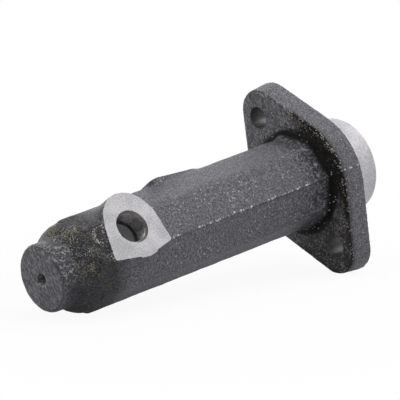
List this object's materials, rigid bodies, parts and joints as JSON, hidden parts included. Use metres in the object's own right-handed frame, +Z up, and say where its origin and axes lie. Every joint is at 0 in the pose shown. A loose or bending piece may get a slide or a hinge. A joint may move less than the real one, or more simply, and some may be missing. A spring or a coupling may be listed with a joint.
{
  "type": "clutch master cylinder",
  "caption": "Cast iron hydraulic cylinder with an octagon barrel, a two-bolt flange and spigot, a side outlet port, a top inlet port and a sprung piston inside.",
  "frame": {"origin": "middle of the bore on the flange's mounting face", "axes": "+X out through the spigot towards the pedal, +Z up through the inlet pad and the upper bolt hole, the outlet faces -Y"},
  "size_m": [0.1549, 0.0544, 0.0832],
  "materials": {
    "casting": "sand cast, dark, with machined faces",
    "piston_alloy": "turned",
    "cup_rubber": "moulded",
    "thin_steel": "zinc plated",
    "spring_wire": "drawn wire",
    "clip_steel": "phosphated spring steel"
  },
  "bodies": {
    "cylinder": {"cylinder_body": "casting", "stop_washer": "thin_steel", "circlip": "clip_steel", "return_spring": "spring_wire"},
    "piston_set": {"piston": "piston_alloy", "primary_cup": "cup_rubber", "cup_washer": "thin_steel", "secondary_cup": "cup_rubber", "spring_retainer": "thin_steel"}
  },
  "joints": [
    {"name": "piston_slide", "type": "slide", "parent": "cylinder", "child": "piston_set", "axis": [-1, 0, 0], "range_m": [0, 0.025], "stiffness_N_per_m": 1600, "springref_m": -0.0375, "deforming": ["return_spring"]}
  ]
}
